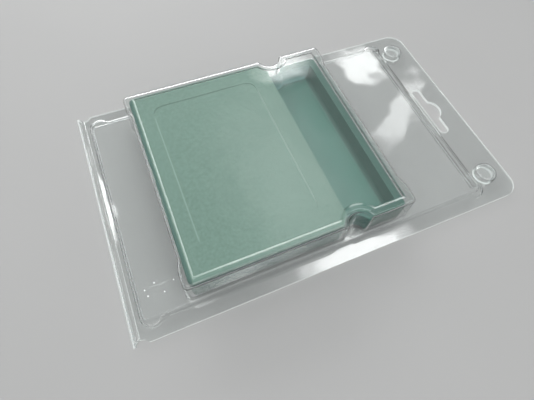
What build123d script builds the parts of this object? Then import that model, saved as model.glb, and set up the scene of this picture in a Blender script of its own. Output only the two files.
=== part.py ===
"""Clear hinged clamshell pack with a formed inner tray, shut and lying on its back.

Millimetres, +Z up. +X runs from the fold to the hang tab, and the origin is on the
surface that the pack lies on, under the middle of its outline.
"""
import math
import os

from build123d import *

# Pack outline
pack_length = 196.0         # outside of the fold to the hang edge
pack_width = 120.0
sheet = 0.5                 # thickness of the formed plastic sheet
lap_gap = 0.3               # play between the facing sheets of the two halves
hang_corner = 8.0           # radius of the two corners at the hang tab

# Rolled fold between the two halves
fold_radius = 1.0           # outside of the roll
fold_run = 3.2              # outside of the roll to the flat flanges

# Relief beside each end of the fold
relief_from_fold = 3.6
relief_radius = 2.6
relief_depth = 1.9
relief_rounding = 1.2

# Hang slot
slot_from_hang_edge = 12.0  # outer straight side of the slot to the hang edge
slot_width = 32.0
slot_height = 5.2
slot_end_radius = 2.2
bulge_width = 11.8
bulge_rise = 3.8
bulge_rounding = 0.8

# Raised field inside the flange
field_from_fold = 4.6
field_from_side = 6.4
field_from_hang_edge = 18.0
field_rise = 2.2
field_corner = 4.0
field_draft = 18.0
field_ramp = 5.6            # run of the slope towards the hang tab
field_rounding = 0.6
ear_radius = 5.6            # round bulge at each corner of the field
ear_proud = 2.4             # how far a bulge stands out over the side flange
ear_rounding = 2.0          # between a bulge and the long side

# Product bubble
bubble_from_fold = 26.4     # wall between the corner ears, at the foot
bubble_length = 105.0
bubble_from_side = 8.4      # outline to the long walls, at the foot
bubble_top = 19.0           # height above the surface that the pack lies on
bubble_draft = 3.0
bubble_corner = 3.0
bubble_rounding = 1.5
bubble_foot = 0.4           # bend from the field into the walls
panel_inset = 4.0           # foot of the walls to the line round the panel in the top
panel_rise = 0.3
panel_slope = 68.0          # from upright, so that its border is a broad glinting line
bubble_ear_proud = 1.4
bubble_ear_length = 9.0
bubble_ear_slant = 5.0
bubble_ear_rounding = 4.0
groove_past_step = 4.1      # half-round groove in each long wall, beside the step in the tray
groove_radius = 4.7
groove_mouth = 1.8

# Snap studs
snap_from_hang_edge = 12.4
snap_from_side = 14.4
snap_diameter = 11.6
snap_rise = 3.4
snap_draft = 8.0
snap_rounding = 1.2

# Inner tray
tray_fold_play = 1.6        # room to the bubble's wall at the fold end
tray_hang_play = 1.2        # room to the bubble's wall at the hang end
tray_side_play = 2.2        # room to the bubble's long walls
tray_top_play = 1.1         # room under the bubble's top
tray_corner = 2.5
tray_draft = 1.0
tray_rounding = 1.0
tray_groove_play = 1.8      # room round the bubble's grooves, so that the front half can swing
tray_groove_mouth = 1.0
frame_inset = 9.6           # faint sunk frame on the platform
frame_corner = 5.0
frame_depth = 0.2
pocket_length = 30.7        # step in the tray to its hang end
pocket_lift = 1.1           # pocket floor above the back half's field
rim_drop = 5.4              # rim round the pocket below the platform
rim_width = 4.0
rim_at_groove = 1.8
rim_rounding = 2.0          # where the rim swings round a groove
rim_bend = 0.6              # along the outer edge of the rim
pocket_draft = 10.0
pocket_corner = 2.0
pocket_rounding = 3.0

# Places that follow from the sizes above
fold_x = -pack_length / 2
hang_x = pack_length / 2
side_y = pack_width / 2
front_z = sheet + lap_gap           # underside of the front flange
flange_x = fold_x + fold_run        # where the flat flanges start
relief_places = [(fold_x + relief_from_fold, s * (side_y + relief_radius - relief_depth)) for s in (-1, 1)]
nest = sheet + lap_gap              # offset from a front form to the back form inside it
field_top = front_z + sheet + field_rise
field_floor_z = sheet + field_rise  # upper face of the back half's field
bubble_low_x = fold_x + bubble_from_fold
bubble_high_x = bubble_low_x + bubble_length
bubble_y = side_y - bubble_from_side
tray_low_x = bubble_low_x + tray_fold_play
tray_high_x = bubble_high_x - tray_hang_play
tray_y = bubble_y - tray_side_play
platform_top = bubble_top - sheet - tray_top_play
rim_top = platform_top - rim_drop
pocket_floor_z = field_floor_z + pocket_lift
step_x = tray_high_x - pocket_length        # top edge of the step from the platform to the pocket
step_slope = math.tan(math.radians(pocket_draft))
groove_x = step_x + groove_past_step
groove_places = [(groove_x, bubble_y), (groove_x, -bubble_y)]
tray_groove = groove_radius + sheet + tray_groove_play
snap_places = [(hang_x - snap_from_hang_edge, s * (side_y - snap_from_side)) for s in (-1, 1)]


def flange_sketch():
    """Outline of one flange with the reliefs at the fold and the hang slot."""
    outer_x = hang_x - slot_from_hang_edge
    with BuildSketch() as flange:
        with Locations(((flange_x + hang_x) / 2, 0)):
            Rectangle(hang_x - flange_x, pack_width)
        fillet(flange.vertices().group_by(Axis.X)[-1], hang_corner)
        with Locations(*relief_places):
            Circle(relief_radius, mode=Mode.SUBTRACT)
        fillet(flange.vertices().filter_by_position(Axis.X, fold_x + relief_from_fold, 0), relief_rounding)
        with BuildSketch(mode=Mode.SUBTRACT) as slot:
            with Locations((outer_x - slot_height / 2, 0)):
                RectangleRounded(slot_height, slot_width, slot_end_radius)
            with BuildLine():
                arc = ThreePointArc(
                    (outer_x, -bulge_width / 2), (outer_x + bulge_rise, 0), (outer_x, bulge_width / 2)
                )
                Line(arc @ 1, arc @ 0)
            make_face()
            fillet(slot.vertices().sort_by(lambda v: abs(v.Y))[:2], bulge_rounding)
    return flange.sketch


def field_form(inset, floor_z, top_z, ears):
    """Solid under the raised field, drawn in from the front half's outer skin by inset."""
    low_x = fold_x + field_from_fold + inset
    high_x = hang_x - field_from_hang_edge - inset
    half_y = side_y - field_from_side - inset
    reach = ear_radius - inset
    ear_y = half_y + ear_proud - reach
    with BuildPart() as form:
        with BuildSketch(Plane.XY.offset(floor_z)) as outline:
            with Locations(((low_x + high_x) / 2, 0)):
                RectangleRounded(high_x - low_x, 2 * half_y, field_corner - inset)
            if ears:
                with Locations(*[(x, s * ear_y) for x in (low_x + reach, high_x - reach) for s in (-1, 1)]):
                    Circle(reach)
                ends = outline.vertices().filter_by_position(Axis.X, low_x + reach, high_x - reach)
                fillet(ends, ear_rounding)
        extrude(amount=top_z - floor_z, taper=field_draft)
        fillet(form.faces().sort_by(Axis.Z)[-1].edges(), field_rounding)
        with BuildSketch(Plane.XZ):
            with BuildLine():
                Polyline((high_x, floor_z), (high_x - field_ramp, top_z), (high_x, top_z), close=True)
            make_face()
        extrude(amount=ear_y, both=True, mode=Mode.SUBTRACT)
    return form.part


def bubble_form(inset, floor_z, top_z):
    """Solid inside the product bubble, drawn in from its outer skin by inset."""
    half_x = bubble_length / 2
    ear_y = bubble_y - bubble_ear_length
    quarter = [
        (half_x, ear_y - bubble_ear_slant),
        (half_x + bubble_ear_proud, ear_y),
        (half_x + bubble_ear_proud, bubble_y),
    ]
    ring = quarter + [(-x, y) for x, y in reversed(quarter)]
    ring += [(-x, -y) for x, y in ring]
    with BuildPart() as form:
        with BuildSketch(Plane.XY.offset(floor_z)) as outline:
            with Locations(((bubble_low_x + bubble_high_x) / 2, 0)):
                Polygon(*ring, align=None)
            corners = outline.vertices().sort_by(lambda v: abs(v.Y))
            fillet(corners[-4:], bubble_corner)
            fillet(corners[:-4], bubble_ear_rounding)
            with Locations(*groove_places):
                Circle(groove_radius, mode=Mode.SUBTRACT)
            mouths = outline.vertices().sort_by(lambda v: abs(v.X - groove_x))[:4]
            fillet(mouths, groove_mouth)
            if inset:
                offset(amount=-inset, mode=Mode.REPLACE)
        ledge_z = top_z - panel_rise
        extrude(amount=ledge_z - floor_z, taper=bubble_draft)
        fillet(form.faces().sort_by(Axis.Z)[-1].edges(), bubble_rounding - inset)
        border = panel_inset + inset
        with BuildSketch(Plane.XY.offset(ledge_z)):
            with Locations(((bubble_low_x + bubble_high_x) / 2, 0)):
                Rectangle(bubble_length - 2 * border, 2 * (bubble_y - border))
            with Locations(*groove_places):
                Circle(groove_radius + border, mode=Mode.SUBTRACT)
        extrude(amount=panel_rise, taper=panel_slope)
    return form.part


def raised_form(inset, floor_z, field_z, bubble_z):
    """Field and bubble in one form, drawn in from the front half's outer skin by inset."""
    with BuildPart() as form:
        add(field_form(inset, floor_z, field_z, ears=True))
        add(bubble_form(inset, floor_z, bubble_z))
        levels = form.faces().filter_by(Axis.Z).group_by(Axis.Z)
        field_face = levels[-3].sort_by(SortBy.AREA)[-1]    # below the ledge and the panel of the top
        fillet(field_face.inner_wires()[0].edges(), bubble_foot + inset)
    return form.part


def snap_form(inset, floor_z, top_z):
    """Both snap studs, drawn in from the front half's outer skin by inset."""
    with BuildPart() as form:
        with BuildSketch(Plane.XY.offset(floor_z)):
            with Locations(*snap_places):
                Circle(snap_diameter / 2 - inset)
        extrude(amount=top_z - floor_z, taper=snap_draft)
        fillet(form.faces().group_by(Axis.Z)[-1].edges(), max(snap_rounding - inset, sheet / 2))
    return form.part


def platform_form(inset):
    """Solid under the whole tray before the pocket is sunk, drawn in from its skin by inset."""
    top_z = platform_top - inset
    length = tray_high_x - tray_low_x
    platform_length = step_x - tray_low_x
    with BuildPart() as form:
        with BuildSketch(Plane.XY.offset(field_floor_z)) as foot:
            with Locations(((tray_low_x + tray_high_x) / 2, 0)):
                RectangleRounded(length - 2 * inset, 2 * (tray_y - inset), tray_corner - inset)
            with Locations(*groove_places):
                Circle(tray_groove + inset, mode=Mode.SUBTRACT)
            mouths = foot.vertices().sort_by(lambda v: abs(v.X - groove_x))[:4]
            fillet(mouths, tray_groove_mouth)
        extrude(amount=top_z - field_floor_z, taper=tray_draft)
        fillet(form.faces().sort_by(Axis.Z)[-1].edges(), tray_rounding - inset)
        with BuildSketch(Plane.XY.offset(top_z)):
            with Locations((tray_low_x + platform_length / 2, 0)):
                RectangleRounded(platform_length - 2 * frame_inset, 2 * (tray_y - frame_inset), frame_corner)
        extrude(amount=-frame_depth, mode=Mode.SUBTRACT)
    return form.part


def rim_form(grow):
    """Space cut out beside the platform, down to the rim and widened by grow."""
    rim_z = rim_top - grow
    rim_x = step_x - grow + (platform_top - rim_top) * step_slope
    above_x = rim_x - (bubble_top - rim_z) * step_slope
    with BuildPart() as form:
        with BuildSketch(Plane.XZ):
            with BuildLine():
                step = Line((rim_x, rim_z), (above_x, bubble_top))
                Polyline(step @ 1, (tray_high_x, bubble_top), (tray_high_x, rim_z), step @ 0)
            make_face()
        extrude(amount=tray_y, both=True)
    return form.part


def pocket_form(grow):
    """Space sunk into the rim for the pocket, widened by grow."""
    rim_x = step_x - grow + (platform_top - rim_top) * step_slope
    pocket_high_x = tray_high_x - rim_width + grow
    half_y = tray_y - rim_width + grow
    with BuildPart() as form:
        with BuildSketch(Plane.XY.offset(rim_top - grow)) as mouth:
            with Locations((rim_x, 0)):
                Rectangle(pocket_high_x - rim_x, 2 * half_y, align=(Align.MIN, Align.CENTER))
            with Locations(*groove_places):
                Circle(tray_groove + rim_at_groove - grow, mode=Mode.SUBTRACT)
            fillet(mouth.vertices().group_by(Axis.X)[1], rim_rounding)
            columns = mouth.vertices().group_by(Axis.X)
            fillet(columns[0] + columns[-1], pocket_corner + grow)
        extrude(amount=pocket_floor_z - rim_top, taper=pocket_draft)
        fillet(form.faces().sort_by(Axis.Z)[0].edges(), pocket_rounding + grow)
    return form.part


# Front half: flange, raised field, bubble and snap sockets formed in one sheet
flange = flange_sketch()
snap_top = front_z + sheet + snap_rise
front_skin = [
    raised_form(0, front_z, field_top, bubble_top),
    snap_form(0, front_z, snap_top),
]
front_hollow = [
    raised_form(sheet, front_z, field_top - sheet, bubble_top - sheet),
    snap_form(sheet, front_z, snap_top - sheet),
]
with BuildPart() as front_shell:
    with BuildSketch(Plane.XY.offset(front_z)):
        add(flange)
    extrude(amount=sheet)
    add(front_skin)
    add(front_hollow, mode=Mode.SUBTRACT)
front_shell.part.label = "front_shell"

# Back half: flange, shallower nested field and snap studs formed in one sheet
back_skin = [
    field_form(nest, 0, field_floor_z, ears=False),
    snap_form(nest, 0, snap_top - nest),
]
back_hollow = [
    field_form(nest + sheet, 0, field_floor_z - sheet, ears=False),
    snap_form(nest + sheet, 0, snap_top - nest - sheet),
]
with BuildPart() as back_shell:
    with BuildSketch():
        add(flange)
    extrude(amount=sheet)
    add(back_skin)
    add(back_hollow, mode=Mode.SUBTRACT)
back_shell.part.label = "back_shell"

# Fold: the same sheet rolled over between the two flanges, with its ends standing out past the reliefs
with BuildPart() as living_hinge:
    with BuildSketch(Plane.XZ):
        with BuildLine():
            roll_x = fold_x + fold_radius
            back_run = Line((flange_x, sheet / 2), (roll_x, sheet / 2))
            roll = ThreePointArc(
                back_run @ 1, (fold_x + sheet / 2, fold_radius), (roll_x, 2 * fold_radius - sheet / 2)
            )
            Spline(roll @ 1, (flange_x, front_z + sheet / 2), tangents=[(1, 0), (1, 0)])
        trace(line_width=sheet)
    extrude(amount=side_y, both=True)
    with BuildSketch():
        with Locations(*relief_places):
            Circle(relief_radius)
    extrude(amount=2 * fold_radius, mode=Mode.SUBTRACT)
living_hinge.part.label = "living_hinge"

# Inner tray: platform, rim and pocket formed in one sheet, standing on the back half's field
tray_skin = platform_form(0)
tray_hollow = platform_form(sheet)
with BuildPart() as tray_underside:
    add(tray_hollow)
    add([rim_form(sheet), pocket_form(sheet)], mode=Mode.SUBTRACT)
with BuildPart() as inner_tray:
    add(tray_skin)
    add(rim_form(0), mode=Mode.SUBTRACT)
    rim = inner_tray.faces().filter_by(Axis.Z).filter_by_position(Axis.Z, rim_top, platform_top)[0]
    fillet(rim.edges().group_by(Axis.X)[1:], rim_bend)
    add(pocket_form(0), mode=Mode.SUBTRACT)
    add(tray_underside.part, mode=Mode.SUBTRACT)
inner_tray.part.label = "inner_tray"

os.makedirs("parts", exist_ok=True)
export_step(front_shell.part, "parts/front_shell.step")
export_step(back_shell.part, "parts/back_shell.step")
export_step(living_hinge.part, "parts/living_hinge.step")
export_step(inner_tray.part, "parts/inner_tray.step")
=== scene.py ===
# Clear hinged clamshell pack with a grey-green formed tray inside, shut and lying on its back.
import math

import bpy
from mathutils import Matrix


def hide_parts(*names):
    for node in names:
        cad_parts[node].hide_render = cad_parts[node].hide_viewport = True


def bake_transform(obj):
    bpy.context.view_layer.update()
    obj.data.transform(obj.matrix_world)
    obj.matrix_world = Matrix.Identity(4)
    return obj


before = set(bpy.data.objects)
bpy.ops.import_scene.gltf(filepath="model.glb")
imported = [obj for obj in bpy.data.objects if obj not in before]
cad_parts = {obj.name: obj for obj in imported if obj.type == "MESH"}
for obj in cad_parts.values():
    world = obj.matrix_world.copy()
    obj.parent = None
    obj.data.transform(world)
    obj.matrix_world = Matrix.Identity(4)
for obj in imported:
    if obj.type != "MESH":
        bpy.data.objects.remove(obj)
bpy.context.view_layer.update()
scene = bpy.context.scene


# Camera: held close over the pack, near its fold end, and looking down towards the hang tab.
# Its place and lens were fitted to the four corners of the outline.
camera_data = bpy.data.cameras.new("camera")
camera_data.sensor_width = 36.0
camera_data.lens = 25.35
camera_data.clip_start = 0.005
camera = bpy.data.objects.new("camera", camera_data)
camera.location = (-0.0627, -0.0915, 0.1615)
camera.rotation_euler = (math.radians(27.136), math.radians(-2.804), math.radians(-22.757))
scene.collection.objects.link(camera)
scene.camera = camera


# Floor and light: a plain pale table top under a soft sky, and ten soft lamps. Six of the lamps
# stand where a flat part of the pack mirrors them, because clear sheet shows by its reflections.
class Wire:
    """A shader socket that takes part in sums, so that 1 - mask adds its own Math node."""

    def __init__(self, tree, socket=None):
        self.tree = tree
        self.socket = socket

    def node(self, kind, output=0, settings=None, **inputs):
        """Adds one node: settings first, then inputs by name, with _ for a blank, or by place, as _0."""
        new = self.tree.nodes.new("ShaderNode" + kind)
        for name, value in (settings or {}).items():
            if name == "stops":
                for stop, (position, colour) in zip(new.color_ramp.elements, value):
                    stop.position, stop.color = position, colour
            else:
                setattr(new, name, value)
        for name, value in inputs.items():
            place = name[1:]
            socket = new.inputs[int(place)] if place.isdigit() else new.inputs[name.replace("_", " ")]
            if isinstance(value, Wire):
                self.tree.links.new(value.socket, socket)
            else:
                socket.default_value = value
        return Wire(self.tree, new.outputs[output] if new.outputs else None)

    def math(self, operation, first, second=0.0):
        return self.node("Math", settings={"operation": operation}, _0=first, _1=second)

    def __add__(self, other):
        return self.math("ADD", self, other)

    __radd__ = __add__

    def __sub__(self, other):
        return self.math("SUBTRACT", self, other)

    def __rsub__(self, other):
        return self.math("SUBTRACT", other, self)

    def __mul__(self, other):
        return self.math("MULTIPLY", self, other)

    __rmul__ = __mul__

    def __abs__(self):
        return self.math("ABSOLUTE", self)

    def between(self, low, high):
        """0 below low, 1 above high and smooth between them."""
        return self.node("MapRange", settings={"interpolation_type": "SMOOTHSTEP"}, Value=self,
                         From_Min=low, From_Max=high, To_Min=0.0, To_Max=1.0)

    def mix(self, first, second):
        """The first colour where this is 0, and the second where it is 1."""
        return self.node("Mix", output=2, settings={"data_type": "RGBA"}, _0=self, _6=first, _7=second)

    def axis(self, number):
        """One number of a place or a direction: 0 along the pack, 1 across it and 2 up."""
        return self.node("SeparateXYZ", output=number, Vector=self)

    def times(self, scales):
        """A place with each of its three numbers scaled."""
        return self.node("VectorMath", settings={"operation": "MULTIPLY"}, _0=self, _1=scales)

    def away_from(self, point):
        """Distance of a place from one point, in metres."""
        return self.node("VectorMath", output="Value", settings={"operation": "DISTANCE"}, _0=self, _1=point)


def new_material(name):
    material = bpy.data.materials.new(name)
    material.use_nodes = True
    material.node_tree.nodes.clear()
    return material, Wire(material.node_tree)


def show(start, shader):
    start.node("OutputMaterial", Surface=shader)


bpy.ops.object.select_all(action="DESELECT")
bpy.ops.mesh.primitive_circle_add(vertices=96, radius=2.5, fill_type="NGON", location=(0, 0, 0))
floor = bpy.context.object
floor.name = "floor"
floor_paint, start = new_material("floor_paint")
mottle = start.node("TexNoise", Vector=start.node("TexCoord", output="Object"), Scale=9.0, Detail=4.0)
paint_tone = mottle.mix((0.395, 0.395, 0.39, 1), (0.425, 0.425, 0.42, 1))
show(start, start.node("BsdfPrincipled", Base_Color=paint_tone, Roughness=0.6))
floor.data.materials.append(floor_paint)

world = bpy.data.worlds.new("sky")
scene.world = world
world.use_nodes = True
world.node_tree.nodes.clear()
sky = Wire(world.node_tree)
height = sky.node("TexCoord", output="Generated").axis(2)
horizon, overhead = (0.0, (0.27, 0.275, 0.28, 1)), (0.8, (0.72, 0.73, 0.74, 1))
shade = sky.node("ValToRGB", settings={"stops": (horizon, overhead)}, Fac=height)
sky.node("OutputWorld", Surface=sky.node("Background", Color=shade, Strength=0.95))


def softbox(name, place, size, radiance, turn=(0.0, 0.0, 0.0), fade=0.3):
    """Lamp that faces down unless it is turned. It is as bright as radiance, and dims towards
    each rim over the share of its width that fade gives."""
    lamp = bpy.data.lights.new(name, "AREA")
    lamp.shape = "RECTANGLE"
    lamp.size, lamp.size_y = size
    lamp.energy = radiance * math.pi * size[0] * size[1]
    lamp.use_nodes = True
    lamp.node_tree.nodes.clear()
    glow = Wire(lamp.node_tree)
    on_lamp = glow.node("NewGeometry", output="Parametric")
    strength = 1.0
    for number in (0, 1):
        share = on_lamp.axis(number)
        strength = strength * share.between(0.0, fade) * (1.0 - share.between(1.0 - fade, 1.0))
    glow.node("OutputLight", Surface=glow.node("Emission", Strength=strength))
    lamp_object = bpy.data.objects.new(name, lamp)
    lamp_object.location = place
    lamp_object.rotation_euler = [math.radians(angle) for angle in turn]
    scene.collection.objects.link(lamp_object)


# From above and from the front
softbox("key_lamp", (-0.30, -0.10, 1.10), (0.6, 0.5), 3.2, turn=(5, -15, 0))
softbox("front_strip_lamp", (0.28, -0.46, 0.83), (1.1, 0.20), 5.0, turn=(27, 18, 0))
# Mirrored in the bubble's top
softbox("veil_lamp", (0.29, 0.42, 0.95), (0.62, 1.30), 0.9, fade=0.5)
softbox("rim_lamp", (0.475, 0.875, 0.90), (0.30, 0.20), 4.0, fade=0.45)
# Mirrored in the panel by the hang tab
softbox("window_lamp", (0.775, 0.815, 0.90), (0.20, 0.24), 2.9)
softbox("band_lamp", (0.815, 0.565, 0.90), (0.50, 0.095), 1.8, turn=(0, 0, 36.6))
# Mirrored in the flange, along its front side and by the fold
softbox("strip_lamp", (0.39, 0.118, 0.90), (0.44, 0.11), 5.0)
softbox("fold_lamp", (-0.280, 0.56, 0.90), (0.052, 0.36), 6.5)
# Low behind the pack and beside the fold, for the bends
softbox("back_lamp", (0.10, 1.30, 0.50), (1.7, 0.40), 8.0, turn=(-70, 0, 0))
softbox("side_lamp", (-0.73, 0.55, 0.66), (0.32, 1.0), 4.0, turn=(-31, -46, 0))


# Both halves of the shell: thin crystal sheet, drawn hot over a mould, so its flats are slightly wavy.
# The flanges were punched out of the sheet, and their cut edges carry a painted glow that stands for the
# light running inside it.
def clear_plastic(name, milky_and_glowing, waves, wave_height):
    """Clear sheet with waves of that scale and height in its flats, and milky places, marked from 0 to 1,
    which carry a painted glow.
    """
    material, start = new_material(name)
    place = start.node("TexCoord", output="Object")
    swell = start.node("TexNoise", Vector=place.times(waves), Scale=1.0, Detail=1.0)
    flat = abs(start.node("TexCoord", output="Normal").axis(2)).between(0.90, 0.99)
    wavy = start.node("Bump", Strength=0.08 + 0.92 * flat, Distance=wave_height, Height=swell)
    sheet = start.node("BsdfGlass", Color=(0.972, 0.978, 0.976, 1), Roughness=0.02, IOR=1.57, Normal=wavy)
    lamp_path = start.node("BsdfTransparent", Color=(0.95, 0.955, 0.953, 1))
    for ray in ("Is Diffuse Ray", "Is Shadow Ray"):
        sheet = start.node("MixShader", Fac=start.node("LightPath", output=ray), _1=sheet, _2=lamp_path)
    # The milk carries a painted glow: it gives off a little light of its own.
    glowing_milk = start.node("BsdfPrincipled", Base_Color=(0.90, 0.93, 0.92, 1), Roughness=0.25,
                      Emission_Color=(0.90, 0.95, 0.94, 1), Emission_Strength=0.55)
    show(start, start.node("MixShader", Fac=milky_and_glowing(start, place), _1=sheet, _2=glowing_milk))
    return material


def edges_and_marks(start, place):
    """The cut edges of the two flanges, as a painted glow, and the specks and hair scratches on the panel by
    the fold, white with a little painted glow.
    """
    flange_top, field_top, bend = 0.00130, 0.0035, 0.00004
    above_flange = place.axis(2).between(flange_top, flange_top + bend)
    flat = abs(start.node("TexCoord", output="Normal").axis(2)).between(0.1, 0.2)
    # Painted glow on the flanges' cut edges.
    milky_and_glowing = 0.75 * (1.0 - above_flange) * (1.0 - flat)
    specks = ((-0.0834, -0.0384), (-0.0803, -0.0436), (-0.0755, -0.0401),
              (-0.0878, -0.0401), (-0.0871, -0.0429))
    speck_core, speck_rim = 0.00018, 0.00045
    for speck in specks:
        from_speck = place.away_from((*speck, field_top))
        milky_and_glowing = milky_and_glowing + 0.8 * (1.0 - from_speck.between(speck_core, speck_rim))
    from_scratches = place.away_from((-0.0805, -0.0415, field_top))
    worn = 0.11 * (1.0 - from_scratches.between(0.002, 0.008))
    hairs_across = 4400.0
    for angle, hairs_along in ((-24, 170.0), (-8, 230.0), (31, 260.0)):
        turned = start.node("Mapping", Vector=place, Rotation=(0, 0, math.radians(angle)),
                            Scale=(hairs_along, hairs_across, hairs_along))
        hair = start.node("TexNoise", Vector=turned, Scale=1.0, Detail=0.0)
        milky_and_glowing = milky_and_glowing + worn * hair.between(0.72, 0.80)
    return milky_and_glowing


shell_sheet = clear_plastic("shell_sheet", edges_and_marks, (45.0, 45.0, 45.0), 0.00028)
for half in ("front_shell", "back_shell"):
    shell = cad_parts[half]
    shell.data.materials.clear()
    shell.data.materials.append(shell_sheet)


# Living hinge: the same sheet, heated and rolled over along one line, so that the halves fold on it.
# Its rows of points lie close where it bends.
def whitened_and_glinting_bend(start, place):
    """The outer bend of the roll, whitened by the bending and given a painted highlight, and its cut ends at
    the long sides, which carry a painted glow.
    """
    outer_bend, cut_end = (-0.0980, -0.0974), (0.05994, 0.05998)
    at_end = abs(place.axis(1)).between(*cut_end)
    # Whitening plus a painted highlight along the outer bend, and a painted glow at the cut ends.
    return 0.5 * (1.0 - place.axis(0).between(*outer_bend)) + 0.3 * at_end


bpy.ops.object.select_all(action="DESELECT")
cad_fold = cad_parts["living_hinge"]
roll = bpy.data.objects.new("rolled_fold", cad_fold.data.copy())
scene.collection.objects.link(roll)
roll.select_set(True)
bpy.context.view_layer.objects.active = roll
back_run_top, front_run_bottom, bend_rows = 0.00050, 0.00080, 6
bpy.ops.object.mode_set(mode="EDIT")
bpy.ops.mesh.select_all(action="SELECT")
bpy.ops.mesh.remove_doubles(threshold=0.000002)
for row in range(bend_rows + 1):
    row_height = back_run_top + (front_run_bottom - back_run_top) * row / bend_rows
    bpy.ops.mesh.select_all(action="SELECT")
    bpy.ops.mesh.bisect(plane_co=(0, 0, row_height), plane_no=(0, 0, 1))
bpy.ops.object.mode_set(mode="OBJECT")
bpy.ops.object.shade_smooth_by_angle(angle=math.radians(40))
roll.data.materials.clear()
roll.data.materials.append(clear_plastic("fold_sheet", whitened_and_glinting_bend, (700.0, 60.0, 700.0), 0.00012))
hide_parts("living_hinge")
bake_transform(roll)


# Inner tray: grey-green sheet formed in one piece, standing loose in the bubble. A blasted mould left the
# platform matte and speckled, and its shoulder at the fold side is smooth and darker. The walls and the rim
# are smooth and deep. The grooves and the pocket's back end wall are painted paler as painted light, and the
# frame line and the platform's side faces carry a pale painted highlight.
tray_plastic, start = new_material("tray_plastic")
place = start.node("TexCoord", output="Object")
facing = start.node("TexCoord", output="Normal")
along, across, level = place.axis(0), place.axis(1), place.axis(2)
upward = facing.axis(2).between(0.80, 0.97)

platform_bend, shoulder, floor_bend = (0.0164, 0.0168), (-0.0683, -0.0679), (0.0042, 0.0046)
on_platform = level.between(*platform_bend) * along.between(*shoulder)
on_floor = (1.0 - level.between(*floor_bend)) * upward
grain = start.node("TexNoise", Vector=place, Scale=800.0, Detail=4.0)
cloud = start.node("TexNoise", Vector=place, Scale=22.0, Detail=2.0)
speck = (grain - 0.5) * (0.25 + 0.75 * on_platform)
tone = 0.5 + 2.0 * speck + 0.6 * (cloud - 0.5)

# Painted light: the pocket's back end wall and the walls round the grooves are painted paler, for the light
# they catch.
end_wall, turned_forward = (0.035, 0.038), (-0.75, -0.35)
painted_light_walls = across.between(*end_wall) * (1.0 - facing.axis(1).between(*turned_forward))
groove_x, groove_y, groove_wall = 0.0056, 0.0516, (0.0068, 0.0100)
plan = place.times((1, 1, 0))
for side in (-1, 1):
    from_groove = plan.away_from((groove_x, side * groove_y, 0))
    painted_light_walls = painted_light_walls + 0.35 * (1.0 - from_groove.between(*groove_wall))

frame_middle, frame_half_length, frame_corner = -0.03425, 0.02615, (0.031, 0.036)
from_frame = abs(abs(along - frame_middle) - frame_half_length)
frame_line = (1.0 - from_frame.between(0.00012, 0.00045)) * (1.0 - abs(across).between(*frame_corner))

platform_green = tone.mix((0.120, 0.229, 0.179, 1), (0.176, 0.306, 0.246, 1))
# Painted highlight: the platform's side faces and the frame line are painted pale.
painted_pale_edges = 0.55 * (1.0 - upward) + 0.4 * frame_line
matte_green = painted_pale_edges.mix(platform_green, (0.36, 0.50, 0.44, 1))
smooth_green = painted_light_walls.mix((0.042, 0.130, 0.102, 1), (0.200, 0.400, 0.370, 1))
floor_green = tone.mix((0.070, 0.205, 0.163, 1), (0.090, 0.245, 0.197, 1))
colour = on_platform.mix(on_floor.mix(smooth_green, floor_green), matte_green)
rough = 0.30 + 0.28 * (on_platform + 0.30 * on_floor)
bumpy = start.node("Bump", Strength=0.5, Distance=0.00004, Height=grain * on_platform)
show(start, start.node("BsdfPrincipled", Base_Color=colour, Roughness=rough,
                       Specular_IOR_Level=0.3, Normal=bumpy))
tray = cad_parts["inner_tray"]
tray.data.materials.clear()
tray.data.materials.append(tray_plastic)


scene.view_settings.view_transform = "Standard"
